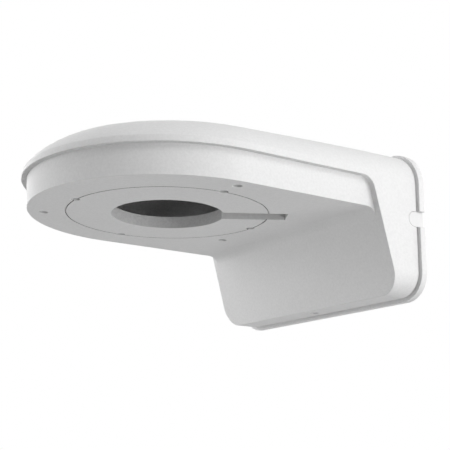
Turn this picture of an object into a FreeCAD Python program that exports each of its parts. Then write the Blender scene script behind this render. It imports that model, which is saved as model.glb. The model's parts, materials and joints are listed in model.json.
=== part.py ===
import FreeCAD, Part

import math
import os

import Sketcher
from FreeCAD import Placement, Rotation, Vector

# Camera wall bracket: a hollow casting hooked on a wall plate, for a camera that hangs from its underside.
# Millimetres. X points to the bracket's right, Y into the wall and Z up. The origin is on the wall,
# in the middle of the wall plate's back.

SIZES = {
    # Arm and camera seat
    "reach": 91.5,  # from the wall to the axis of the camera
    "arm_half_width": 65.0,
    "seat_height": 4.0,  # the camera seat above the plate's middle
    "lip_height": 12.6,  # from the seat to the lip's lower edge
    "band_height": 2.9,
    "band_lean": 0.6,
    "lip_overhang": 3.1,  # from the pedestal's edge at the seat out to the lip
    "pedestal_draft": 2.7,  # degrees
    # Crown
    "crown_angle": 38.5,  # degrees from upright, at which it leaves the band at the front
    "crown_even_angle": 49.0,  # degrees round the front, to each side, over which it stays the same
    # Housing at the wall
    "housing_half_height": 32.6,
    "housing_bottom_round": 10.6,
    "foot_depth": 12.2,  # front to back at the bottom
    "seat_depth": 22.3,  # front to back at the height of the seat
    "lip_corner_round": 6.5,
    "seat_corner_round": 5.5,
    "wall_thickness": 3.0,
    # Camera seat openings
    "seat_thickness": 5.5,
    "throat_radius": 25.0,
    "slot_width": 11.0,
    "slot_reach": 53.2,
    "slot_angle": 30.0,  # degrees, from straight back towards the right
    "quartet_radius": 45.0,  # of the four camera screws, and of the engraved ring through them
    "ring_width": 0.5,
    "ring_depth": 0.6,
    "trio_inset": 6.9,  # from the pedestal's edge at the seat to the three camera screws
    "camera_screw_radius": 2.0,
    # Foot
    "lock_hole_radius": 2.2,
    "relief_half_width": 16.0,
    "relief_depth": 0.4,
    # Side cable entry
    "entry_radius": 3.5,
    "entry_inset": 1.7,  # from the casting's rear edge to the centre of the entry's arc
    "entry_height": 1.0,
    "entry_clearance": 0.15,
    "plug_depth": 5.0,
    # Wall plate
    "rim": 1.4,  # how far the plate stands out round the casting
    "plate_thickness": 3.0,
    "cable_hole_radius": 16.0,
    "wall_hole_radius": 2.6,
    "wall_hole_x": 46.0,
    "wall_hole_z": 18.0,
    # Hooks of the plate and hook bars of the casting
    "hook_x": 30.0,
    "hook_half_width": 8.0,
    "hook_thickness": 2.5,
    "bar_height": 3.2,
    "bar_thickness": 2.2,
    "bar_margin": 1.5,  # how far a bar runs past its hook at each side
    "hook_clearance": 0.3,
    # Lock boss and screw
    "boss_half_width": 8.0,
    "boss_height": 8.0,
    "boss_front": 3.4,  # from the screw's axis to the boss's front
    "boss_clearance": 0.3,
    "screw_radius": 2.0,
    "screw_length": 8.0,
    "screw_recess": 1.2,
    "screw_clearance": 0.05,
    "socket_radius": 1.15,
    "socket_depth": 2.0,
}

doc = FreeCAD.newDocument("CameraWallBracket")
sheet = doc.addObject("Spreadsheet::Sheet", "Sizes")
for row, (name, value) in enumerate(SIZES.items(), start=1):
    sheet.set(f"A{row}", name)
    sheet.set(f"B{row}", str(value))
    sheet.setAlias(f"B{row}", name)
doc.recompute()


class Size:
    """A number with the sheet formula that gives it."""

    def __init__(self, value, formula=None):
        self.value = float(value)
        self.formula = formula or f"{self.value:.9g}"

    def __add__(self, other):
        other = as_size(other)
        return Size(self.value + other.value, f"({self.formula} + {other.formula})")

    def __sub__(self, other):
        other = as_size(other)
        return Size(self.value - other.value, f"({self.formula} - {other.formula})")

    def __mul__(self, other):
        other = as_size(other)
        return Size(self.value * other.value, f"({self.formula} * {other.formula})")

    def __truediv__(self, other):
        other = as_size(other)
        return Size(self.value / other.value, f"({self.formula} / {other.formula})")

    def __neg__(self):
        return Size(-self.value, f"(0 - {self.formula})")

    def root(self):
        return Size(math.sqrt(self.value), f"sqrt({self.formula})")

    def sine(self):
        return Size(math.sin(math.radians(self.value)), f"sin({self.formula})")

    def cosine(self):
        return Size(math.cos(math.radians(self.value)), f"cos({self.formula})")

    def arcsine(self):
        return Size(math.degrees(math.asin(self.value)), f"(asin({self.formula}) / 1 deg)")


def as_size(number):
    return number if isinstance(number, Size) else Size(number)


size = {name: Size(value, f"Sizes.{name}") for name, value in SIZES.items()}
ZERO = Size(0.0)
QUARTER_TURN = Size(90.0)
RADIAN = Size(math.pi / 180)
PAST = Size(1.0)  # how far a cut runs past the face it opens
LEAST_CHANGE = 1e-3  # cubic millimetres that each feature must at least add or take away
CROWN_TURN_STEPS = 5  # sections of the crown where the rim still turns
CROWN_SIDE_STEPS = 4  # and along the straight side


def origin_plane(body, role):
    return next(part for part in body.Origin.OriginFeatures if part.Role == role)


def set_size(feature, field, length):
    """Give a feature's field its number and bind it to the sheet."""
    setattr(feature, field, length.value)
    feature.setExpression(field, length.formula)


def new_body(name):
    """A sub-part, whose label names its file."""
    body = doc.addObject("PartDesign::Body", name.title().replace("_", ""))
    body.Label = name
    return body


def new_sketch(body, name, role, shift=(ZERO, ZERO, ZERO), turn=ZERO):
    """Sketch on one of the body's own planes, shifted along the plane's own axes and turned
    by some degrees about its upright one."""
    sketch = body.newObject("Sketcher::SketchObject", name)
    sketch.AttachmentSupport = [(origin_plane(body, role), "")]
    sketch.MapMode = "FlatFace"
    rotation = Rotation(Vector(0, 1, 0), turn.value)
    sketch.AttachmentOffset = Placement(Vector(*(part.value for part in shift)), rotation)
    for axis, part in zip("xyz", shift):
        sketch.setExpression(f"AttachmentOffset.Base.{axis}", part.formula)
    if turn is not ZERO:
        sketch.setExpression("AttachmentOffset.Rotation.Angle", turn.formula)
    return sketch


def level_sketch(body, name, z, y=ZERO):
    """Sketch seen from above, at a height, with its origin at a depth."""
    return new_sketch(body, name, "XY_Plane", (ZERO, y, z))


def front_sketch(body, name, y, turn=ZERO):
    """Sketch seen from the front, at a depth, turned about the upright axis in the middle."""
    return new_sketch(body, name, "XZ_Plane", (ZERO, ZERO, -y), turn)


def side_sketch(body, name, x=ZERO, y=ZERO):
    """Sketch seen from the right, at a distance from the middle, with its origin at a depth."""
    return new_sketch(body, name, "YZ_Plane", (y, ZERO, x))


def bind(sketch, kind, *where, length):
    number = sketch.addConstraint(Sketcher.Constraint(kind, *where, length.value))
    sketch.setExpression(f"Constraints[{number}]", length.formula)


def arc_between(start, end, radius, left):
    """Arc under half a turn from start to end, turning left or right, and the order of its ends."""
    chord = end - start
    across = Vector(-chord.y, chord.x, 0).normalize() * (1 if left else -1)
    centre = (start + end) / 2 + across * math.sqrt(max(radius ** 2 - (chord.Length / 2) ** 2, 0.0))
    first, last = (start, end) if left else (end, start)
    angles = [math.atan2(spot.y - centre.y, spot.x - centre.x) for spot in (first, last)]
    circle = Part.Circle(centre, Vector(0, 0, 1), radius)
    return Part.ArcOfCircle(circle, angles[0], angles[1]), (1, 2) if left else (2, 1)


def outline(sketch, corners, arcs=None):
    """Closed outline through the corners. arcs gives the radius of the stretch that leaves a corner,
    with a minus where the stretch turns right."""
    arcs = arcs or {}
    ends = []
    for number, corner in enumerate(corners):
        following = corners[(number + 1) % len(corners)]
        start, end = (Vector(spot[0].value, spot[1].value, 0) for spot in (corner, following))
        if number in arcs:
            radius = arcs[number].value
            edge, order = arc_between(start, end, abs(radius), radius > 0)
        else:
            edge, order = Part.LineSegment(start, end), (1, 2)
        sketch.addGeometry(edge)
        ends.append(order)
    for number, (corner_x, corner_y) in enumerate(corners):
        before = (number - 1) % len(corners)
        start = ends[number][0]
        sketch.addConstraint(Sketcher.Constraint("Coincident", before, ends[before][1], number, start))
        bind(sketch, "DistanceX", -1, 1, number, start, length=corner_x)
        bind(sketch, "DistanceY", -1, 1, number, start, length=corner_y)
    for number, radius in arcs.items():
        bind(sketch, "Radius", number, length=radius if radius.value > 0 else -radius)


def circles(sketch, centres, radius):
    for x, y in centres:
        number = sketch.addGeometry(Part.Circle(Vector(x.value, y.value, 0), Vector(0, 0, 1), radius.value))
        bind(sketch, "DistanceX", -1, 1, number, 3, length=x)
        bind(sketch, "DistanceY", -1, 1, number, 3, length=y)
        bind(sketch, "Radius", number, length=radius)


def rectangle(sketch, x_low, x_high, y_low, y_high):
    outline(sketch, [(x_low, y_low), (x_high, y_low), (x_high, y_high), (x_low, y_high)])


def finish(feature, name, before, adds):
    """Recompute a feature and make sure that it added or took away material."""
    doc.recompute()
    change = feature.Shape.Volume - before
    if abs(change) < LEAST_CHANGE or (change > 0) != adds:
        raise RuntimeError(f"{name} changed the volume by {change:.3f}")
    return feature


def volume(body):
    return body.Tip.Shape.Volume if body.Tip and not body.Tip.Shape.isNull() else 0.0


def extrude(body, kind, name, sketch, length, symmetric=False, backwards=False, draft=None):
    """Pad or Pocket of a sketch. A Pad runs along the sketch's normal, a Pocket against it."""
    before = volume(body)
    feature = body.newObject(f"PartDesign::{kind}", name)
    feature.Profile = sketch
    set_size(feature, "Length", length)
    feature.SideType = "Symmetric" if symmetric else "One side"
    feature.Reversed = backwards
    if draft is not None:
        set_size(feature, "TaperAngle", draft)
    return finish(feature, name, before, kind == "Pad")


def loft(body, kind, name, sketches):
    before = volume(body)
    feature = body.newObject(f"PartDesign::{kind}", name)
    feature.Profile = sketches[0]
    feature.Sections = sketches[1:]
    return finish(feature, name, before, kind == "AdditiveLoft")


def mirror(body, name, cuts):
    """Repeat cuts on the other side of the bracket's middle."""
    before = volume(body)
    mirrored = body.newObject("PartDesign::Mirrored", name)
    mirrored.Originals = cuts
    mirrored.MirrorPlane = (origin_plane(body, "YZ_Plane"), [""])
    body.Tip = mirrored
    return finish(mirrored, name, before, False)


def revolve(body, kind, name, sketch, half_angle):
    """Revolution or Groove of a profile about its sketch's vertical axis, by an angle to each side."""
    before = volume(body)
    feature = body.newObject(f"PartDesign::{kind}", name)
    feature.Profile = sketch
    feature.ReferenceAxis = (sketch, ["V_Axis"])
    set_size(feature, "Angle", half_angle * 2)
    feature.Midplane = True
    return finish(feature, name, before, kind == "Revolution")


def ring_pattern(body, name, feature, sketch, count):
    """Repeat a feature evenly round its sketch's normal."""
    before = volume(body)
    pattern = body.newObject("PartDesign::PolarPattern", name)
    pattern.Originals = [feature]
    pattern.Axis = (sketch, ["N_Axis"])
    pattern.Angle = 360
    pattern.Occurrences = count
    body.Tip = pattern
    return finish(pattern, name, before, False)


# Places that the driving sizes give
seat_z = size["seat_height"]
lip_z = seat_z + size["lip_height"]
band_z = lip_z + size["band_height"]
top_z = size["housing_half_height"]
bottom_z = -size["housing_half_height"]
floor_z = seat_z + size["seat_thickness"]
half_width = size["arm_half_width"]
wall = size["wall_thickness"]
pedestal_radius = half_width - size["lip_overhang"]
inner_radius = pedestal_radius - wall
rear_y = -size["plate_thickness"]
axis_y = -size["reach"]
box_round = top_z - lip_z
box_centre_x = half_width - box_round
foot_front_y = rear_y - size["foot_depth"]
lock_y = rear_y - size["foot_depth"] / 2
slope = (size["seat_depth"] - size["foot_depth"]) / (seat_z - bottom_z)
lean = (slope * slope + 1).root()


def face_y(z, inset=ZERO):
    """Depth of the leaning front face at a height, or of the face that lies behind it by inset."""
    return foot_front_y + inset * lean - (z - bottom_z) * slope


def arc_x(radius, centre_x, rise):
    """Where an arc stands at a rise above its centre."""
    return centre_x + (radius * radius - rise * rise).root()


def full_section(sketch, right_half, radius):
    """Both halves of a section, closed by its floor and its flat top, with an arc up to the top."""
    left_half = [(-x, z) for x, z in reversed(right_half)]
    outline(sketch, right_half + left_half, {1: radius, 3: radius})


def rounded_box(sketch, box_half_width, box_half_height, low_round, high_round):
    """Upright rectangle with one radius at its lower corners and one at its upper corners."""
    low_x = box_half_width - low_round
    low_y = low_round - box_half_height
    high_x = box_half_width - high_round
    high_y = box_half_height - high_round
    outline(sketch, [
        (-low_x, -box_half_height), (low_x, -box_half_height),
        (box_half_width, low_y), (box_half_width, high_y),
        (high_x, box_half_height), (-high_x, box_half_height),
        (-box_half_width, high_y), (-box_half_width, low_y),
    ], {1: low_round, 3: high_round, 5: high_round, 7: low_round})


def corner_turn(radius, height):
    """Where a round between a level face and the leaning face starts and ends."""
    turn = radius * (lean - slope)
    corner = face_y(height)
    return (corner - turn, height), (corner + turn * slope / lean, height - turn / lean)


# The crown's arc leaves the band at an angle, which makes the crease, and is level where it meets the
# flat top. That angle stays the same round the front, then falls along the rim, and at the wall the
# arc is the box's own round.
rise = top_z - band_z
front_angle = size["crown_angle"]
box_angle = (size["band_height"] / box_round).arcsine()
box_spring_x = box_centre_x + box_round * box_angle.cosine()
turning_angle = QUARTER_TURN - size["crown_even_angle"]
turning_rim = half_width * turning_angle * RADIAN
changing_rim = turning_rim + rear_y - axis_y


def crown_arc(share):
    """Radius, centre and start across of the crown's arc where its angle has fallen by a share."""
    angle = front_angle + (box_angle - front_angle) * share
    radius = rise / (Size(1.0) - angle.sine())
    lean_in = size["band_lean"] + (half_width - box_spring_x - size["band_lean"]) * share
    start = half_width - lean_in
    return radius, start - radius * angle.cosine(), start


def crown_waste(sketch, share, side=1):
    """Outline of what the crown's cut takes off the arm's slab at one place of the rim."""
    radius, centre, start = crown_arc(share)
    outside = half_width + PAST * 2
    foot = half_width + (half_width - start) * PAST / size["band_height"]
    corners = [
        (foot, lip_z - PAST), (start, band_z), (centre, top_z), (centre, top_z + PAST),
        (outside, top_z + PAST), (outside, lip_z - PAST),
    ]
    outline(sketch, [(x * side, z) for x, z in corners], {1: radius * side})


def eased(part):
    """Share of the change at a part of the changing rim, level at both ends."""
    return part * part * (Size(3.0) - part * 2)


# Casting: the outer form
casting = new_body("bracket_body")
slab = level_sketch(casting, "SlabOutline", lip_z, axis_y)
slab_radius = half_width + PAST
slab_end = rear_y - axis_y
outline(slab, [
    (-slab_radius, ZERO), (ZERO, -slab_radius), (slab_radius, ZERO), (slab_radius, slab_end),
    (-slab_radius, slab_end),
], {0: slab_radius, 1: slab_radius})
extrude(casting, "Pad", "Slab", slab, top_z - lip_z)
front_waste = side_sketch(casting, "FrontWaste", y=axis_y)
crown_waste(front_waste, ZERO, -1)
revolve(casting, "Groove", "FrontCrown", front_waste, size["crown_even_angle"])
right_cuts = []
for name, count in (("Turning", CROWN_TURN_STEPS), ("Straight", CROWN_SIDE_STEPS)):
    wastes = []
    for step in range(count + 1):
        part = step / count
        if name == "Turning":
            turn = turning_angle * (part - 1)
            waste = front_sketch(casting, f"{name}Waste{step}", axis_y, turn)
            crown_waste(waste, eased(turning_rim * part / changing_rim))
        else:
            waste = front_sketch(casting, f"{name}Waste{step}", axis_y + slab_end * part)
            crown_waste(waste, eased((turning_rim + slab_end * part) / changing_rim))
        wastes.append(waste)
    right_cuts.append(loft(casting, "SubtractiveLoft", f"{name}Crown", wastes))
mirror(casting, "LeftCrown", right_cuts)

lip_turn_start, lip_turn_end = corner_turn(size["lip_corner_round"], lip_z)
below_z = bottom_z - PAST
low_round = size["housing_bottom_round"]
low_housing = front_sketch(casting, "LowHousingSection", rear_y)
outline(low_housing, [
    (low_round - half_width, bottom_z), (half_width - low_round, bottom_z),
    (half_width, bottom_z + low_round), (half_width, lip_z),
    (-half_width, lip_z), (-half_width, bottom_z + low_round),
], {1: low_round, 5: low_round})
block_y = lip_turn_start[0] - PAST
extrude(casting, "Pad", "LowHousing", low_housing, rear_y - block_y)
front_cut = side_sketch(casting, "FrontCut")
outline(front_cut, [
    (block_y - PAST, lip_z), (block_y - PAST, below_z), (face_y(below_z), below_z),
    lip_turn_end, lip_turn_start,
], {3: size["lip_corner_round"]})
extrude(casting, "Pocket", "LeaningFace", front_cut, (half_width + PAST) * 2, symmetric=True)

# Pedestal below the lip, and the round where its seat runs into the leaning face
pedestal = level_sketch(casting, "PedestalOutline", seat_z, axis_y)
pedestal_end = foot_front_y - axis_y
outline(pedestal, [
    (-pedestal_radius, ZERO), (ZERO, -pedestal_radius), (pedestal_radius, ZERO),
    (pedestal_radius, pedestal_end), (-pedestal_radius, pedestal_end),
], {0: pedestal_radius, 1: pedestal_radius})
extrude(casting, "Pad", "Pedestal", pedestal, size["lip_height"], draft=size["pedestal_draft"])
seat_turn_start, seat_turn_end = corner_turn(size["seat_corner_round"], seat_z)
seat_round = side_sketch(casting, "SeatRoundProfile")
outline(seat_round, [
    seat_turn_start, seat_turn_end, (seat_turn_end[0] + PAST, seat_turn_end[1]),
    (face_y(seat_z) + PAST, seat_z + PAST), (seat_turn_start[0], seat_z + PAST),
], {0: -size["seat_corner_round"]})
extrude(casting, "Pad", "SeatRound", seat_round, pedestal_radius * 2, symmetric=True)

# Core: the hollow, one wall inside the form, open at the rear
core = new_body("core")
step_y = face_y(floor_z, wall)
low_z = bottom_z + wall
inner_top_z = top_z - wall
inner_housing = front_sketch(core, "InnerHousingSection", rear_y + PAST)
rounded_box(inner_housing, half_width - wall, inner_top_z, low_round - wall, box_round - wall)
extrude(core, "Pad", "InnerHousing", inner_housing, rear_y + PAST - step_y)
inner_cut = side_sketch(core, "InnerFrontCut")
outline(inner_cut, [
    (step_y - PAST, floor_z), (step_y - PAST, below_z), (face_y(below_z, wall), below_z), (step_y, floor_z),
])
extrude(core, "Pocket", "InnerLeaningFace", inner_cut, (half_width + PAST) * 2, symmetric=True)
inner_sections = []
for radius, centre in ((box_round, box_centre_x), crown_arc(ZERO)[:2]):
    inner_arc = radius - wall
    meeting_z = top_z - radius + arc_x(inner_arc, ZERO, inner_radius - centre)
    right_half = [(inner_radius, floor_z), (inner_radius, meeting_z), (centre, inner_top_z)]
    inner_sections.append((right_half, inner_arc))
(box_half, box_arc), (end_half, end_arc) = inner_sections
inner_box = front_sketch(core, "InnerBoxSection", step_y + PAST)
full_section(inner_box, box_half, box_arc)
inner_end = front_sketch(core, "InnerEndSection", axis_y)
full_section(inner_end, end_half, end_arc)
loft(core, "AdditiveLoft", "InnerCrown", [inner_box, inner_end])
profile = side_sketch(core, "InnerEndProfile", y=axis_y)
rim_points = [(-x, z) for x, z in end_half]
outline(profile, rim_points + [(ZERO, inner_top_z), (ZERO, floor_z)], {1: -end_arc})
revolve(core, "Revolution", "InnerRoundEnd", profile, QUARTER_TURN)
before = volume(casting)
hollow = casting.newObject("PartDesign::Boolean", "Hollow")
hollow.Type = "Cut"
hollow.setObjects([core])
finish(hollow, "Hollow", before, False)

# Camera seat: throat, slot, engraved ring and screw holes
through = size["seat_thickness"] + PAST
throat = level_sketch(casting, "ThroatCircle", seat_z, axis_y)
circles(throat, [(ZERO, ZERO)], size["throat_radius"])
extrude(casting, "Pocket", "Throat", throat, through, backwards=True)

along_x, along_y = size["slot_angle"].sine(), size["slot_angle"].cosine()
half_slot = size["slot_width"] / 2
slot_start = size["throat_radius"] / 2
slot = level_sketch(casting, "SlotOutline", seat_z, axis_y)
outline(slot, [
    (along_x * reach + along_y * half_slot * side, along_y * reach - along_x * half_slot * side)
    for reach, side in ((slot_start, 1), (size["slot_reach"], 1), (size["slot_reach"], -1), (slot_start, -1))
])
extrude(casting, "Pocket", "CableSlot", slot, through, backwards=True)

ring = level_sketch(casting, "RingCircles", seat_z, axis_y)
half_ring = size["ring_width"] / 2
circles(ring, [(ZERO, ZERO)], size["quartet_radius"] - half_ring)
circles(ring, [(ZERO, ZERO)], size["quartet_radius"] + half_ring)
extrude(casting, "Pocket", "EngravedRing", ring, size["ring_depth"], backwards=True)


def camera_holes(name, radius, count):
    """Through holes evenly round the camera's axis, the first one at the right."""
    screw = level_sketch(casting, f"{name}Circle", seat_z, axis_y)
    circles(screw, [(radius, ZERO)], size["camera_screw_radius"])
    first = extrude(casting, "Pocket", f"{name}Hole", screw, through, backwards=True)
    ring_pattern(casting, f"{name}Holes", first, screw, count)


camera_holes("Quartet", size["quartet_radius"], 4)
camera_holes("Trio", pedestal_radius - size["trio_inset"], 3)

# Foot: lock screw hole and the relief at the rear edge
lock = level_sketch(casting, "LockCircle", bottom_z, lock_y)
circles(lock, [(ZERO, ZERO)], size["lock_hole_radius"])
extrude(casting, "Pocket", "LockHole", lock, wall + PAST, backwards=True)
relief = front_sketch(casting, "ReliefOutline", rear_y)
rectangle(relief, -size["relief_half_width"], size["relief_half_width"], below_z, low_z + PAST)
extrude(casting, "Pocket", "Relief", relief, size["relief_depth"], backwards=True)

# Side cable entry, open to the rear edge
entry_y = rear_y - size["entry_inset"]
entry_z = size["entry_height"]


def entry_outline(sketch, radius, end_y):
    """U lying on its side, open towards the wall."""
    outline(sketch, [
        (end_y, entry_z - radius), (entry_y, entry_z - radius), (entry_y - radius, entry_z),
        (entry_y, entry_z + radius), (end_y, entry_z + radius),
    ], {1: -radius, 2: -radius})


entry = side_sketch(casting, "EntryOutline", x=half_width + PAST)
entry_outline(entry, size["entry_radius"], rear_y + PAST)
extrude(casting, "Pocket", "SideEntry", entry, wall + PAST * 2)

# Bars inside the top wall that the plate's hooks hold
bar_half_width = size["hook_half_width"] + size["bar_margin"]
bar_low_z = top_z - wall - size["bar_height"]
for name, side in (("Right", 1), ("Left", -1)):
    middle = size["hook_x"] * side
    bar = front_sketch(casting, f"{name}BarOutline", rear_y)
    rectangle(bar, middle - bar_half_width, middle + bar_half_width, bar_low_z, top_z - wall / 2)
    extrude(casting, "Pad", f"{name}Bar", bar, size["bar_thickness"])

# Wall plate
plate = new_body("wall_plate")
rim = size["rim"]
plate_outline = front_sketch(plate, "PlateOutline", ZERO)
rounded_box(plate_outline, half_width + rim, top_z + rim, size["housing_bottom_round"] + rim, box_round + rim)
extrude(plate, "Pad", "Plate", plate_outline, size["plate_thickness"])

plate_through = size["plate_thickness"] + PAST
openings = front_sketch(plate, "CableOpening", ZERO)
circles(openings, [(ZERO, ZERO)], size["cable_hole_radius"])
extrude(plate, "Pocket", "CableHole", openings, plate_through, backwards=True)
wall_screws = front_sketch(plate, "WallScrewCircles", ZERO)
wall_x, wall_z = size["wall_hole_x"], size["wall_hole_z"]
circles(wall_screws, [(wall_x, wall_z), (-wall_x, wall_z), (-wall_x, -wall_z), (wall_x, -wall_z)],
        size["wall_hole_radius"])
extrude(plate, "Pocket", "WallScrewHoles", wall_screws, plate_through, backwards=True)

notch_low_x = half_width - size["plug_depth"] - size["entry_clearance"]
notch = front_sketch(plate, "NotchOutline", ZERO)
rectangle(notch, notch_low_x, half_width + rim + PAST, entry_z - size["entry_radius"],
          entry_z + size["entry_radius"])
extrude(plate, "Pocket", "SideNotch", notch, plate_through, backwards=True)

# Hooks that reach over the bars' front
hook_gap = size["hook_clearance"]
hook_front_y = rear_y - size["bar_thickness"] - hook_gap
tab_top_z = bar_low_z - hook_gap
for name, side in (("Right", 1), ("Left", -1)):
    hook = side_sketch(plate, f"{name}HookProfile", x=size["hook_x"] * side)
    outline(hook, [
        (rear_y, tab_top_z - size["hook_thickness"]), (rear_y, tab_top_z), (hook_front_y, tab_top_z),
        (hook_front_y, top_z - wall - hook_gap),
        (hook_front_y - size["hook_thickness"], top_z - wall - hook_gap),
        (hook_front_y - size["hook_thickness"], tab_top_z - size["hook_thickness"]),
    ])
    extrude(plate, "Pad", f"{name}Hook", hook, size["hook_half_width"] * 2, symmetric=True)

# Boss for the lock screw
boss_low_z = low_z + size["boss_clearance"]
boss = front_sketch(plate, "BossOutline", rear_y)
rectangle(boss, -size["boss_half_width"], size["boss_half_width"], boss_low_z,
          boss_low_z + size["boss_height"])
extrude(plate, "Pad", "Boss", boss, rear_y - lock_y + size["boss_front"])
tapping = level_sketch(plate, "TappedCircle", boss_low_z, lock_y)
circles(tapping, [(ZERO, ZERO)], size["screw_radius"] + size["screw_clearance"])
extrude(plate, "Pocket", "TappedHole", tapping, size["boss_height"] + PAST, backwards=True)

# Side plug, flush with the casting's side, from the entry's arc back to the wall
plug = new_body("side_plug")
plug_outline = side_sketch(plug, "PlugOutline", x=half_width)
entry_outline(plug_outline, size["entry_radius"] - size["entry_clearance"], ZERO)
extrude(plug, "Pad", "Plug", plug_outline, size["plug_depth"], backwards=True)

# Lock screw: a set screw, its socket end set back inside the foot
screw_low_z = bottom_z + size["screw_recess"]
lock_screw = new_body("lock_screw")
shank = level_sketch(lock_screw, "ShankCircle", screw_low_z, lock_y)
circles(shank, [(ZERO, ZERO)], size["screw_radius"])
extrude(lock_screw, "Pad", "Shank", shank, size["screw_length"])
socket = level_sketch(lock_screw, "SocketOutline", screw_low_z, lock_y)
socket_radius = size["socket_radius"]
sixths = [Size(60.0 * number) for number in range(6)]
outline(socket, [(turn.cosine() * socket_radius, turn.sine() * socket_radius) for turn in sixths])
extrude(lock_screw, "Pocket", "Socket", socket, size["socket_depth"], backwards=True)

doc.recompute()
for item in doc.Objects:
    if {"Invalid", "Error"} & set(item.State):
        raise RuntimeError(f"{item.Name} failed: {item.State}")

os.makedirs("parts", exist_ok=True)
for body in (casting, plate, plug, lock_screw):
    shape = body.Shape
    if shape.isNull() or not shape.isValid() or len(shape.Solids) != 1:
        raise RuntimeError(f"{body.Label} is not one valid solid")
    shape.exportStep(os.path.join("parts", f"{body.Label}.step"))
    print(body.Label, f"{shape.Volume / 1000:.1f} cm3", f"{len(shape.Faces)} faces")
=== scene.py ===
# %% [markdown]
# # A camera wall bracket
#
# This lesson dresses a finished CAD model of a white cast bracket that holds a security camera
# on a wall. The real one is die cast in aluminium and powder coated, so nearly all of its look is
# one matte white skin, a few crisp edges and the soft light that shows its curves.
# The CAD model gives every shape and size. It is loaded first, and its box is kept, so that at the end
# it can be printed beside the dressed part's box.

# %% Load the CAD model
import json
import math

import bmesh
import bpy
from mathutils import Matrix, Vector


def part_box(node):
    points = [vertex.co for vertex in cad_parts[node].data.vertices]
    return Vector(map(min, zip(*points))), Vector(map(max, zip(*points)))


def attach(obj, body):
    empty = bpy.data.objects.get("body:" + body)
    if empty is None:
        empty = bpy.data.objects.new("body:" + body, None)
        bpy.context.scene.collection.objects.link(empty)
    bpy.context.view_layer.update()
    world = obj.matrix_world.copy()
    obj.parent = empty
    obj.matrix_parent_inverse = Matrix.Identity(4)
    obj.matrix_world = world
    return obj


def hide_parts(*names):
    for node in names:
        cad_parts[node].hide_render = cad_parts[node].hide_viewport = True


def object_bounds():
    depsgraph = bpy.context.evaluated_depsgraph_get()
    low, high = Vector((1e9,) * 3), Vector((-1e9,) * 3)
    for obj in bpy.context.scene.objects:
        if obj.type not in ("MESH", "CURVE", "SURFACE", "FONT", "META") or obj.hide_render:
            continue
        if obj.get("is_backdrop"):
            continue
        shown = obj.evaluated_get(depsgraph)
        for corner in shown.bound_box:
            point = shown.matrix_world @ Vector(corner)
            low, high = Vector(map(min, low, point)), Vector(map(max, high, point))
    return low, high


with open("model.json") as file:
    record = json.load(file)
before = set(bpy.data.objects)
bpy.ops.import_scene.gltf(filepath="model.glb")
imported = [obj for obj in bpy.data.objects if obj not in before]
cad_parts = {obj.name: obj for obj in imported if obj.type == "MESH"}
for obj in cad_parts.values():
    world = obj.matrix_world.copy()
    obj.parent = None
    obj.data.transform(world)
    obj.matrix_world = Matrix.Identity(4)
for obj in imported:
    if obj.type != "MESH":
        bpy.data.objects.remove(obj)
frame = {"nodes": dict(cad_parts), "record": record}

cad_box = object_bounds()
for name, node in sorted(frame["nodes"].items()):
    low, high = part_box(name)
    print(name, "is", [round((b - a) * 1000, 1) for a, b in zip(low, high)], "mm,",
          len(node.data.polygons), "faces")

# %% [markdown]
# The camera comes next, because each later choice is judged through it. The photograph was taken
# from the bracket's right, from below and from about half a metre away. A camera on a tripod would
# be placed the same way: where it stands, how far it turns, how far it tips up, and a small roll.

# %% Camera
camera_data = bpy.data.cameras.new("Camera")
camera = bpy.data.objects.new("Camera", camera_data)
bpy.context.scene.collection.objects.link(camera)
CAMERA_PLACE = (0.36776, -0.30515, -0.10664)
turn, tip, roll = (math.radians(angle) for angle in (57.94, 12.99, 0.62))
aim = (Matrix.Rotation(turn, 4, "Z") @ Matrix.Rotation(math.radians(90) + tip, 4, "X")
       @ Matrix.Rotation(roll, 4, "Z"))
camera.matrix_world = Matrix.Translation(CAMERA_PLACE) @ aim
camera_data.sensor_width = 36
camera_data.lens = 78.91
camera_data.shift_x = 0.0578
camera_data.shift_y = 0.0396
camera_data.clip_start = 0.01
bpy.context.scene.camera = camera
bpy.context.scene.view_settings.view_transform = "Standard"
print("lens", camera_data.lens, "mm, at", [round(part, 3) for part in camera.matrix_world.translation])


# %% [markdown]
# Finishes are built from nodes. Written out by hand each node takes several lines, so one small
# class carries a socket about. Its operators add Math nodes, and its node method adds any other
# node, so a finish reads like the sum that it is.

# %% A socket that can be calculated with
class Wire:
    """An output socket of a material's node tree, with arithmetic."""

    def __init__(self, tree, socket):
        self.tree = tree
        self.socket = socket

    def node(self, kind, settings=None, output=0, **inputs):
        """Add a node, set its settings, then its inputs by name, and return one of its outputs."""
        made = self.tree.nodes.new(kind)
        for key, value in (settings or {}).items():
            setattr(made, key, value)
        for key, value in inputs.items():
            place = made.inputs[int(key[1:]) if key[1:].isdigit() else key.replace("_", " ")]
            if isinstance(value, Wire):
                self.tree.links.new(value.socket, place)
            else:
                place.default_value = value
        return Wire(self.tree, made.outputs[output])

    def maths(self, operation, first, second):
        return self.node("ShaderNodeMath", {"operation": operation}, i0=first, i1=second)

    def __add__(self, other):
        return self.maths("ADD", self, other)

    def __mul__(self, other):
        return self.maths("MULTIPLY", self, other)

    __radd__ = __add__
    __rmul__ = __mul__


def new_finish(name, **fixed):
    """A material with one Principled shader: its shader node and a wire with the place on the piece."""
    material = bpy.data.materials.new(name)
    material.use_nodes = True
    tree = material.node_tree
    shader = tree.nodes["Principled BSDF"]
    for key, value in fixed.items():
        shader.inputs[key.replace("_", " ")].default_value = value
    place = Wire(tree, tree.nodes.new("ShaderNodeTexCoord").outputs["Object"])
    return material, shader, place


def feed(shader, **wires):
    """Link wires to the shader's sockets."""
    for key, wire in wires.items():
        wire.tree.links.new(wire.socket, shader.inputs[key.replace("_", " ")])


print("helpers ready")

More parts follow.
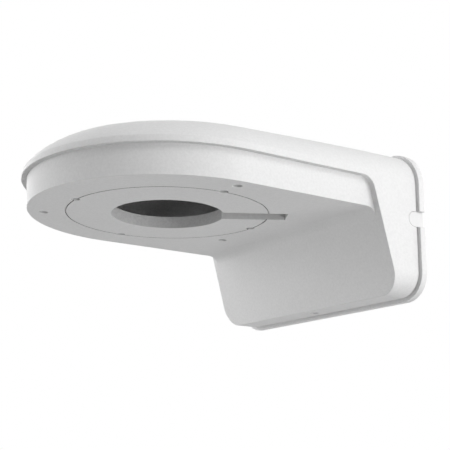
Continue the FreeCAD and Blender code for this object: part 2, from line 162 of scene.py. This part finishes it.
# %% [markdown]
# Powder coat is plastic powder that is sprayed on and baked. It flows into a matte skin with a very
# fine orange peel. That grain is made with noise: one size for the peel and a finer one for the dry
# speckle between, both as bump. The peel also makes the skin a little rougher in places. With a slow
# cloud, a third noise, it shifts the white by 0.03 at most.

# %% Powder coat
def powder_coat(name, white, grain):
    """White coat with the fine orange peel of baked powder."""
    material, shader, place = new_finish(name, IOR=1.5)
    peel = place.node("ShaderNodeTexNoise", Vector=place, Scale=900.0, Detail=3.0, Roughness=0.6)
    speckle = place.node("ShaderNodeTexNoise", Vector=place, Scale=2600.0, Detail=2.0, Roughness=0.5)
    cloud = place.node("ShaderNodeTexNoise", Vector=place, Scale=18.0, Detail=2.0, Roughness=0.5)
    height = peel * 0.7 + speckle * 0.3
    normal = place.node("ShaderNodeBump", Height=height, Strength=grain, Distance=0.0002)
    tone = place.node("ShaderNodeMapRange", Value=cloud * 0.3 + peel * 0.7, i1=0.35, i2=0.65,
                      i3=white - 0.03, i4=white + 0.03)
    colour = place.node("ShaderNodeCombineColor", Red=tone, Green=tone, Blue=tone)
    feed(shader, Base_Color=colour, Roughness=0.52 + 0.12 * peel, Normal=normal)
    print("made", name)
    return material


COAT_WHITE, COAT_GRAIN = 0.80, 0.35
casting_coat = powder_coat("casting_coat", COAT_WHITE, COAT_GRAIN)
plate_coat = powder_coat("plate_coat", COAT_WHITE, COAT_GRAIN)

# %% [markdown]
# In the hollow and on the throat's wall the coat is painted a darker grey, with pits and blotches in
# it:
# painted shade where little light reaches. The engraved ring's walls and floor are painted near black:
# painted shade in the narrow groove.

# %% Painted shade for the hollow and the groove
def painted_shade_skin(name, light):
    """A grey with pits and blotches, darker than the coat: painted shade for recesses. Light is its
    darkest grey.
    """
    material, shader, place = new_finish(name, IOR=1.5)
    pits = place.node("ShaderNodeTexVoronoi", Vector=place, Scale=900.0)
    blotches = place.node("ShaderNodeTexNoise", Vector=place, Scale=60.0, Detail=4.0, Roughness=0.6)
    tone = light + 0.14 * blotches + 0.10 * pits
    colour = place.node("ShaderNodeCombineColor", Red=tone, Green=tone, Blue=tone)
    normal = place.node("ShaderNodeBump", Height=pits, Strength=0.5, Distance=0.0003)
    feed(shader, Base_Color=colour, Roughness=0.55 + 0.3 * blotches, Normal=normal)
    print("made", name)
    return material


# Painted shade: a darker grey for the hollow and the throat's wall.
hollow_painted_shade = painted_shade_skin("hollow_painted_shade", 0.55)
# Painted shade: near black for the engraved ring's narrow groove.
groove_painted_shade = painted_shade_skin("groove_painted_shade", 0.12)

# %% [markdown]
# The side plug is moulded in white plastic: smoother than the coat, with a faint satin flow in it.
# The lock screw is zinc plated steel, whose fine grain is only in its roughness.

# %% Plug plastic and zinc plate
plug_plastic, shader, place = new_finish("plug_plastic", IOR=1.46)
flow = place.node("ShaderNodeTexNoise", Vector=place, Scale=300.0, Detail=2.0, Roughness=0.5)
tone = 0.76 + 0.02 * flow
feed(shader, Base_Color=place.node("ShaderNodeCombineColor", Red=tone, Green=tone, Blue=tone),
     Roughness=0.40 + 0.10 * flow,
     Normal=place.node("ShaderNodeBump", Height=flow, Strength=0.15, Distance=0.0001))
zinc_plate, shader, place = new_finish("zinc_plate", Metallic=1.0)
shader.inputs["Base Color"].default_value = (0.55, 0.55, 0.56, 1)
grain = place.node("ShaderNodeTexNoise", Vector=place, Scale=1200.0, Detail=3.0)
feed(shader, Roughness=0.30 + 0.15 * grain)
print("made", plug_plastic.name, "and", zinc_plate.name)

# %% [markdown]
# A CAD edge is perfectly sharp, and nothing made is. A casting's edges are rounded by its mould and
# again by the coat, and each catches a thin line of light or shade that tells the eye how big the
# part is. The rounds could be faked in the shader, but real ones also show in the outline, so the
# casting and the plate each become a copy of their CAD shape with a Bevel modifier. The copy is
# cleaned first: corners that lie on each other are merged and flat triangles joined, so that a bevel
# finds whole edges. It is cleaned again after the bevel, because a corner left on a straight edge
# would be exported as a triangle without area. An edge's bevel weight says how large its round is,
# as a share of the full round.

# %% A copy that can be bevelled
MM = 0.001
FULL_ROUND = 2.0 * MM
FLAT_ANGLE, FLAT_ANGLE_AFTER_BEVEL = math.radians(0.2), math.radians(0.02)


def only(piece):
    """Deselect everything else and make this piece the active one."""
    bpy.ops.object.select_all(action="DESELECT")
    piece.select_set(True)
    bpy.context.view_layer.objects.active = piece


def join_flat(piece, flat_angle):
    """Merge the corners that lie on each other, join flat faces and take out corners on a straight
    edge, in the object that is the only one selected. The piece argument is not used."""
    bpy.ops.object.mode_set(mode="EDIT")
    bpy.ops.mesh.select_all(action="SELECT")
    bpy.ops.mesh.remove_doubles(threshold=0.001 * MM)
    bpy.ops.mesh.dissolve_limited(angle_limit=flat_angle)
    bpy.ops.object.mode_set(mode="OBJECT")


def clean_copy(node, name):
    """A piece with a CAD node's shape, its corners merged and its flat triangles joined."""
    piece = bpy.data.objects.new(name, frame["nodes"][node].data.copy())
    piece.data.name = name
    bpy.context.scene.collection.objects.link(piece)
    only(piece)
    bpy.ops.mesh.customdata_custom_splitnormals_clear()
    join_flat(piece, FLAT_ANGLE)
    print(name, "has", len(piece.data.vertices), "corners and", len(piece.data.polygons), "faces")
    return piece


def round_edges(piece, rules):
    """Round edges. Each rule is a radius in millimetres, the least angle that the edge turns by in
    degrees, and a test of a place in millimetres, which has to hold at both ends of the edge and
    halfway. The first rule that holds counts."""
    shape = bmesh.new()
    shape.from_mesh(piece.data)
    weight = shape.edges.layers.float.new("bevel_weight_edge")
    counts = [0] * len(rules)
    for edge in shape.edges:
        turn = math.degrees(edge.calc_face_angle(0))
        ends = [vertex.co / MM for vertex in edge.verts]
        spots = ends + [(ends[0] + ends[1]) / 2]
        for number, (radius, least, test) in enumerate(rules):
            if turn > least and all(test(spot) for spot in spots):
                edge[weight] = radius * MM / FULL_ROUND
                counts[number] += 1
                break
    shape.to_mesh(piece.data)
    shape.free()
    only(piece)
    bevel = piece.modifiers.new("edge_rounds", "BEVEL")
    bevel.limit_method = "WEIGHT"
    bevel.width = FULL_ROUND
    bevel.segments = 3
    bevel.use_clamp_overlap = False
    bpy.ops.object.modifier_apply(modifier=bevel.name)
    join_flat(piece, FLAT_ANGLE_AFTER_BEVEL)
    bpy.ops.object.shade_smooth_by_angle(angle=math.radians(20))
    weighted = piece.modifiers.new("flat_faces_stay_flat", "WEIGHTED_NORMAL")
    weighted.keep_sharp = True
    bpy.ops.object.modifier_apply(modifier=weighted.name)
    print(piece.name, "edges rounded:", counts, "faces now:", len(piece.data.polygons))


# %% [markdown]
# The rounds belong on the real part's outer edges, so we need to know where those are. The places
# come from the frame, in millimetres: the camera's axis and seat, and the casting's box. The steps
# between them, such as the lip's height over the seat, are the CAD model's.

# %% Places on the casting
mounts = {mount["name"]: mount for mount in frame["record"]["mounts"]}
axis_y = mounts["camera_screws"]["pos_m"][1] / MM
seat_z = mounts["camera_screws"]["pos_m"][2] / MM
body_low, body_high = (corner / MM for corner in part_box("bracket_body"))
half_width = body_high.x
rear_y = body_high.y
plate_half_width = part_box("wall_plate")[1].x / MM
LIP_HEIGHT, BAND_HEIGHT, LIP_OVERHANG = 12.6, 2.9, 3.1
FOOT_DEPTH, SEAT_DEPTH = 12.2, 22.3
WALL, SEAT_THICKNESS = 3.0, 5.5
REAR_LOW_CORNER, REAR_HIGH_CORNER = 10.6, 16.0
# How far the throat and the slot reach from the camera's axis, and a screw hole from its own, each
# with a little to spare.
THROAT_REACH, SLOT_REACH, SCREW_HOLE_REACH = 26, 54, 2.1
lip_z = seat_z + LIP_HEIGHT
crease_z = lip_z + BAND_HEIGHT
slope = (SEAT_DEPTH - FOOT_DEPTH) / (seat_z - body_low.z)
screw_places = [
    (mounts[name]["dims"]["pcd_mm"] / 2, math.tau * number / mounts[name]["dims"]["count"])
    for name in ("camera_screws", "camera_screws_three")
    for number in range(mounts[name]["dims"]["count"])
]
print("seat at", round(seat_z, 1), "lip at", round(lip_z, 1), "crease at", round(crease_z, 1), "mm,",
      len(screw_places), "camera screw holes")

# %% [markdown]
# By hand one would click on each edge. In code an edge is found by where it lies: a test takes a
# place and says whether it is on the lip, on the seat's rim, at a screw hole and so on.

# %% Tests for the edges
def at(number, other):
    """Whether two measures are the same, to a fiftieth of a millimetre."""
    return abs(number - other) < 0.02


def axis_reach(spot):
    """Distance from the camera's axis."""
    return math.hypot(spot.x, spot.y - axis_y)


def rim_reach(spot):
    """Distance from the camera's axis in front of it, and from the middle behind it."""
    return axis_reach(spot) if spot.y < axis_y else abs(spot.x)


def on_lip(spot):
    return at(spot.z, lip_z) and rim_reach(spot) > half_width - 1


def on_crease(spot):
    return at(spot.z, crease_z)


def on_seat_rim(spot):
    return at(spot.z, seat_z) and rim_reach(spot) > half_width - LIP_OVERHANG - 1


def on_screw_hole(spot):
    """Within reach of one of the camera's screw holes, at the seat."""
    return at(spot.z, seat_z) and any(
        math.hypot(spot.x - reach * math.cos(turn), spot.y - axis_y - reach * math.sin(turn))
        < SCREW_HOLE_REACH
        for reach, turn in screw_places
    )


def on_throat(spot):
    """On the throat's or the cable slot's edge, which the engraved ring crosses."""
    return at(spot.z, seat_z) and axis_reach(spot) < SLOT_REACH and not on_ring(spot)


def at_ring(spot):
    """As far from the camera's axis as the engraved ring, which runs through the four screw holes."""
    return abs(axis_reach(spot) - screw_places[0][0]) < 0.3


def on_slot(spot):
    """Where the cable slot is: behind the throat, on the near side."""
    return spot.x > 10 and spot.y > axis_y + 20


def on_ring(spot):
    return at_ring(spot) and not on_slot(spot)


def on_rear_rim(spot):
    """On the outer edge of the face that meets the plate, and not on the edge of its hollow."""
    # How far the place is past the rim, with the low corners' round and with the high corners'.
    low_corner, high_corner = (
        math.hypot(max(abs(spot.x) - half_width + radius, 0),
                   max(side * spot.z - body_high.z + radius, 0)) - radius
        for side, radius in ((-1, REAR_LOW_CORNER), (1, REAR_HIGH_CORNER))
    )
    return at(spot.y, rear_y) and max(low_corner, high_corner) > -1


def on_leaning_rim(spot):
    """On the edge between the leaning face and the sides, or between it and the foot's bottom."""
    leaning = at(spot.y, rear_y - FOOT_DEPTH - (spot.z - body_low.z) * slope)
    side = at(abs(spot.x), half_width) and spot.z < lip_z
    return (leaning or side) and spot.y < rear_y - FOOT_DEPTH + 1


print("edge tests ready")

# %% [markdown]
# Three kinds of inner face get painted shade, greys darker than the outside's coat: those of the
# hollow, the throat's wall and the engraved ring. They are found by the middle of the face, and the
# hollow's also by the way that the face looks, because the wall between inside and outside is only 3 mm
# thick.

# %% Tests for the inner faces
def in_hollow(spot, normal):
    """Whether a face of the casting is one of its hollow's, from the face's middle and normal."""
    away = normal.x * spot.x + normal.y * min(spot.y - axis_y, 0)
    skin = (rim_reach(spot) > 50 and away > 1) or (spot.z > crease_z and normal.z > 0.05)
    arm = spot.z > seat_z + SEAT_THICKNESS - 0.1
    foot = (spot.y > rear_y - SEAT_DEPTH - 3 and spot.z > body_low.z + WALL - 0.1
            and normal.z > -0.05)
    inside = rim_reach(spot) < half_width - WALL + 0.1 and spot.y < rear_y - 0.1
    return inside and (arm or foot) and not skin


def in_throat(spot):
    """On the throat's wall."""
    return axis_reach(spot) < THROAT_REACH and seat_z + 0.3 < spot.z < seat_z + SEAT_THICKNESS


def in_groove(spot):
    """On the engraved ring's walls or floor."""
    return at_ring(spot) and seat_z + 0.05 < spot.z < seat_z + 1


print("face tests ready")

# %% [markdown]
# The mould and the coat round most of the casting's edges by two to three tenths of a millimetre.
# The crease between the crown and the band has the smallest round. It fades away towards the wall,
# so it is looked for down to a few degrees. The rear edge, which is dressed by hand, has the largest
# round. The corner under the lip stays sharp: it holds a thin dark line. The edges come before the
# finishes, so that the narrow faces of the rounds are sorted too.

# %% Casting
# The least angles in degrees: of an edge that is plainly one, and of the crease.
SHARP, FADING = 18, 4
casting = clean_copy("bracket_body", "casting")
round_edges(casting, [
    (0.3, SHARP, on_lip),
    (0.15, FADING, on_crease),
    (0.2, SHARP, on_seat_rim),
    (0.3, SHARP, on_screw_hole),
    (0.2, SHARP, on_throat),
    (1.1, SHARP, on_rear_rim),
    (0.3, SHARP, on_leaning_rim),
])
# The slots: the coat, then the painted shade of the hollow and the throat, then that of the groove.
COAT, HOLLOW_SHADE, GROOVE_SHADE = 0, 1, 2
casting.data.materials.clear()
for material in (casting_coat, hollow_painted_shade, groove_painted_shade):
    casting.data.materials.append(material)
# The hollow's and the throat's faces get the darker grey and the groove's get near black: both are
# painted shade.
for face in casting.data.polygons:
    middle = face.center / MM
    if in_groove(middle):
        face.material_index = GROOVE_SHADE
    elif in_hollow(middle, face.normal) or in_throat(middle):
        face.material_index = HOLLOW_SHADE
    else:
        face.material_index = COAT
for number, material in enumerate(casting.data.materials):
    faces = [face for face in casting.data.polygons if face.material_index == number]
    area = sum(face.area for face in faces) * 1e4
    print(material.name, "is on", len(faces), "faces,", round(area, 1), "cm2")
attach(casting, "root")
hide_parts("bracket_body")

# %% [markdown]
# The wall plate shows as a thin rim round the casting, with a fine line of light on its edge. Its
# rounds are small and the same all over, so one rule does for them.

# %% Plate
def on_plate_edge(spot):
    """On the face that meets the casting, or on the plate's own sides."""
    return at(spot.y, rear_y) or at(abs(spot.x), plate_half_width)


plate = clean_copy("wall_plate", "plate")
round_edges(plate, [(0.3, SHARP, on_plate_edge)])
plate.data.materials.clear()
plate.data.materials.append(plate_coat)
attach(plate, "root")
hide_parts("wall_plate")

# %% [markdown]
# The side plug and the lock screw are small and show little. Their CAD shapes do as they are, so
# they stay and only change their material.

# %% Plug and screw
for name, material in {"side_plug": plug_plastic, "lock_screw": zinc_plate}.items():
    slots = frame["nodes"][name].data.materials
    slots.clear()
    slots.append(material)
    print(name, "wears", material.name)

# %% [markdown]
# The stage: a pale floor well under the bracket and a white world. The camera sees the world as a
# clean white background, and reflections see it too, which lays a soft sheen on the coat. Rays that
# carry diffuse light don't see it, so that light comes from the lamps alone.

# %% Floor
FLOOR_SIZE, FLOOR_HEIGHT = 1.6, -1.3
bpy.ops.mesh.primitive_plane_add(size=FLOOR_SIZE, location=(0, 0, FLOOR_HEIGHT))
floor = bpy.context.object
floor.name = "floor"
floor_paint, shader, place = new_finish("floor_paint", Roughness=0.8)
shader.inputs["Base Color"].default_value = (0.85, 0.85, 0.85, 1)
floor.data.materials.append(floor_paint)
floor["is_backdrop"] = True
print(floor.name, "is", FLOOR_SIZE, "m wide, at", FLOOR_HEIGHT, "m")

# %% Background
world = bpy.data.worlds.new("Studio")
bpy.context.scene.world = world
world.use_nodes = True
nodes, links = world.node_tree.nodes, world.node_tree.links
background = nodes["Background"]
background.inputs["Color"].default_value = (1, 1, 1, 1)
ray = nodes.new("ShaderNodeLightPath")
shiny = nodes.new("ShaderNodeMath")
shiny.operation = "MAXIMUM"
links.new(ray.outputs["Is Glossy Ray"], shiny.inputs[0])
links.new(ray.outputs["Is Transmission Ray"], shiny.inputs[1])
seen = nodes.new("ShaderNodeMath")
seen.operation = "MAXIMUM"
links.new(ray.outputs["Is Camera Ray"], seen.inputs[0])
links.new(shiny.outputs[0], seen.inputs[1])
links.new(seen.outputs[0], background.inputs["Strength"])
print("background", world.name, "has", len(links), "links")

# %% [markdown]
# The light is that of a white photo tent: sixteen soft boxes all round, each weak. The two strongest
# are on the bracket's right, so its near side is the brightest face. Those in front, on the left and
# below give the underside and the leaning face their greys.

# %% Lights
LAMP_SIZE, LAMP_DISTANCE = 0.6, 1.2
BRACKET_MIDDLE = Vector((0, -0.08, 0))
LAMPS = {
    "right_high": (0, 40, 4.1),
    "right_rear": (30, 0, 4.5),
    "right_rear_high": (45, 20, 2.2),
    "right_rear_low": (45, -30, 1.7),
    "right_low": (0, -30, 3.4),
    "right_front": (-45, 0, 1.3),
    "right_front_high": (-45, 40, 0.6),
    "rear": (75, 10, 2.9),
    "rear_low": (90, -60, 1.4),
    "front": (-110, 15, 2.3),
    "left_front": (-135, 0, 3.9),
    "left_front_high": (-135, 40, 0.9),
    "left_front_low": (-135, -30, 1.9),
    "left_high": (-160, 25, 2.2),
    "left": (180, 10, 2.5),
    "overhead": (-60, 85, 2.9),
}


def soft_box(name, azimuth, elevation, power):
    """A square lamp on a sphere round the bracket, facing it. Angles in degrees, power in watts."""
    data = bpy.data.lights.new(name, "AREA")
    data.size = LAMP_SIZE
    data.energy = power
    lamp = bpy.data.objects.new(name, data)
    bpy.context.scene.collection.objects.link(lamp)
    around, up = math.radians(azimuth), math.radians(elevation)
    toward = Vector((math.cos(around) * math.cos(up), math.sin(around) * math.cos(up),
                     math.sin(up)))
    lamp.location = BRACKET_MIDDLE + toward * LAMP_DISTANCE
    lamp.rotation_euler = (-toward).to_track_quat("-Z", "Y").to_euler()


for name, (azimuth, elevation, power) in LAMPS.items():
    soft_box(name, azimuth, elevation, power)
whole_power = sum(power for azimuth, elevation, power in LAMPS.values())
print(len(LAMPS), "soft boxes,", round(whole_power, 1), "W in all")

# %% [markdown]
# Last, the box of the CAD model and of the dressed part are written side by side. Looks never change
# a size, so they may only differ by what a round takes off an outer edge, here less than 0.1 mm.

# %% Sizes and finish
dressed_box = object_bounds()
for label, corners in (("CAD", cad_box), ("dressed", dressed_box)):
    print(label, [[round(part * 1000, 2) for part in corner] for corner in corners])
